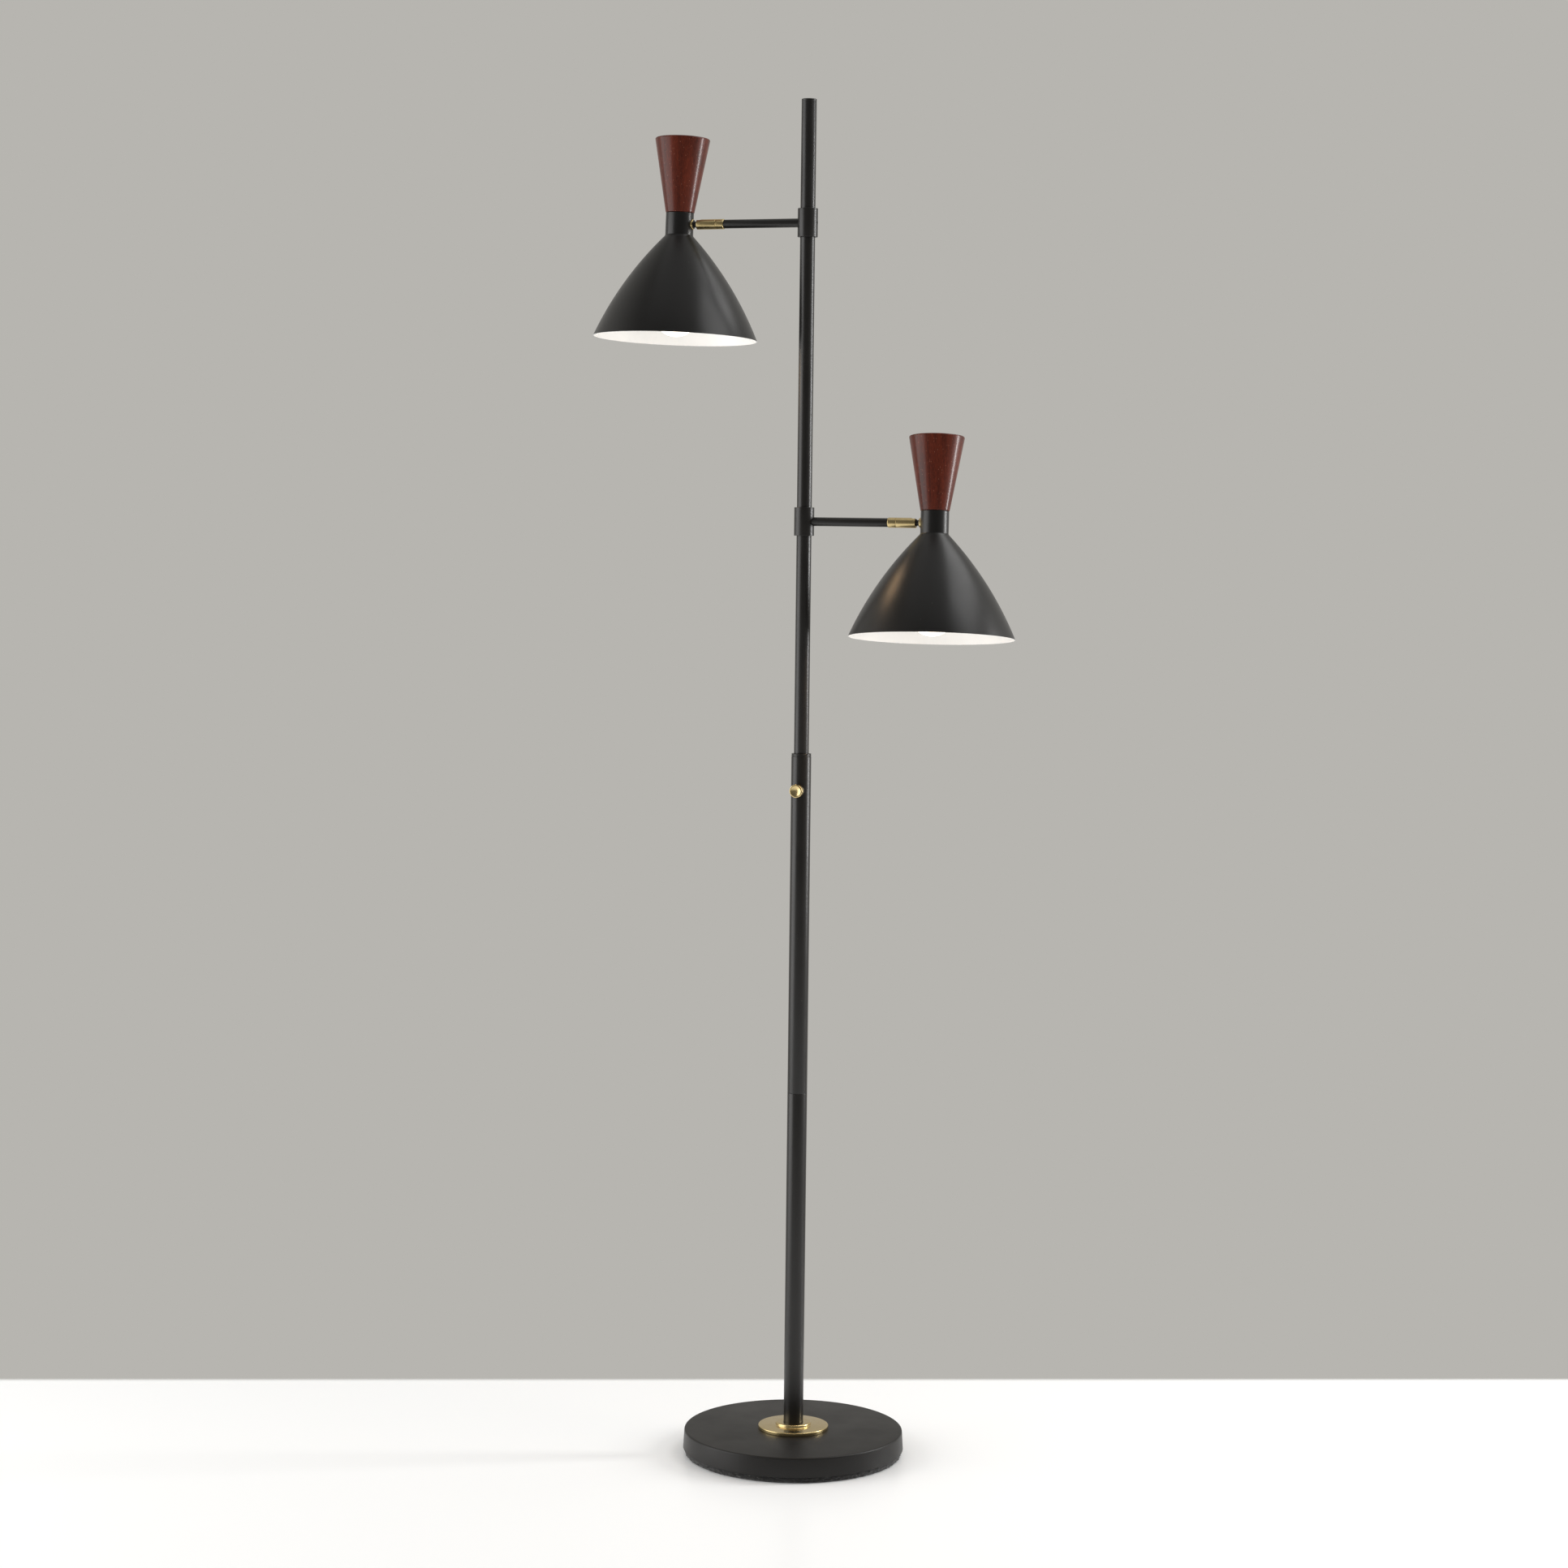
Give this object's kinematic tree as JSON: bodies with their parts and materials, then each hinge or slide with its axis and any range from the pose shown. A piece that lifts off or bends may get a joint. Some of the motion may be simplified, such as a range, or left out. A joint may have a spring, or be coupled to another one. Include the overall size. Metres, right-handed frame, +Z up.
{
  "type": "floor lamp",
  "caption": "Free-standing tree lamp: round weighted base, stepped pole with rotary switch, and arms whose ball swivels carry spun cone shades topped by turned wood cones.",
  "frame": {"origin": "centre of the base pad's underside, on the floor", "axes": "+Z up along the pole, +X along the lower arm, -X along the upper arm, -Y towards the front, where the switch knob faces"},
  "size_m": [0.5605, 0.2878, 1.74],
  "materials": {
    "felt": "matte",
    "black_powder_coat": "satin",
    "shade_enamel": "satin",
    "cast_iron": "matte",
    "brass": "satin",
    "stained_wood": "satin",
    "zinc_steel": "satin",
    "black_screw_steel": "satin",
    "spring_steel": "satin",
    "black_nylon": "matte",
    "white_nylon": "satin",
    "phenolic": "gloss",
    "cap_aluminium": "satin",
    "frosted_glass": "matte"
  },
  "bodies": {
    "stand": {"base_pad": "felt", "base_shell": "black_powder_coat", "base_weight": "cast_iron", "base_flange": "brass", "cord_bushing": "black_nylon", "foot_nipple": "zinc_steel", "foot_washer": "zinc_steel", "foot_nut": "zinc_steel", "pole_foot_insert": "zinc_steel", "pole_lower": "black_powder_coat", "pole_coupler": "zinc_steel", "pole_middle": "black_powder_coat", "pole_reducer": "black_powder_coat", "pole_upper": "black_powder_coat", "pole_cap": "black_powder_coat", "switch_body": "phenolic", "switch_nut": "brass", "collar_set_screws": "black_screw_steel", "spigot_nuts": "zinc_steel", "upper_collar": "black_powder_coat", "upper_arm": "black_powder_coat", "upper_swivel_base": "brass", "lower_collar": "black_powder_coat", "lower_arm": "black_powder_coat", "lower_swivel_base": "brass"},
    "switch": {"switch_knob": "brass", "switch_spindle": "brass"},
    "upper_swivel": {"upper_swivel_housing": "brass", "upper_swivel_plug": "brass", "upper_swivel_seat": "white_nylon", "upper_swivel_spring": "spring_steel"},
    "upper_head": {"upper_ball_stem": "black_powder_coat", "upper_neck_ring": "brass", "upper_stem_nut": "zinc_steel", "upper_shade": "shade_enamel", "upper_wood_cone": "stained_wood", "upper_wood_insert": "brass", "upper_head_nipple": "zinc_steel", "upper_neck_nut": "zinc_steel", "upper_socket_body": "phenolic", "upper_socket_contacts": "brass", "upper_bulb_base": "cap_aluminium", "upper_bulb_glass": "frosted_glass"},
    "lower_swivel": {"lower_swivel_housing": "brass", "lower_swivel_plug": "brass", "lower_swivel_seat": "white_nylon", "lower_swivel_spring": "spring_steel"},
    "lower_head": {"lower_ball_stem": "black_powder_coat", "lower_neck_ring": "brass", "lower_stem_nut": "zinc_steel", "lower_shade": "shade_enamel", "lower_wood_cone": "stained_wood", "lower_wood_insert": "brass", "lower_head_nipple": "zinc_steel", "lower_neck_nut": "zinc_steel", "lower_socket_body": "phenolic", "lower_socket_contacts": "brass", "lower_bulb_base": "cap_aluminium", "lower_bulb_glass": "frosted_glass"}
  },
  "joints": [
    {"name": "switch_turn", "type": "hinge", "parent": "stand", "child": "switch", "pos_m": [0, -0.018, 0.866], "axis": [0, -1, 0], "continuous": true},
    {"name": "upper_swivel", "type": "hinge", "parent": "stand", "child": "upper_swivel", "pos_m": [-0.1455, 0, 1.5855], "axis": [-1, 0, 0], "range_deg": [-172.4, 167.6]},
    {"name": "upper_tilt", "type": "hinge", "parent": "upper_swivel", "child": "upper_head", "pos_m": [-0.1455, 0, 1.5855], "axis": [0, 0.9991, -0.0419], "range_deg": [-0.9, 79.1]},
    {"name": "lower_swivel", "type": "hinge", "parent": "stand", "child": "lower_swivel", "pos_m": [0.1455, 0, 1.209], "axis": [1, 0, 0], "range_deg": [-163.6, 176.4]},
    {"name": "lower_tilt", "type": "hinge", "parent": "lower_swivel", "child": "lower_head", "pos_m": [0.1455, 0, 1.209], "axis": [0, -0.9938, 0.1115], "range_deg": [-1.1, 78.9]}
  ]
}
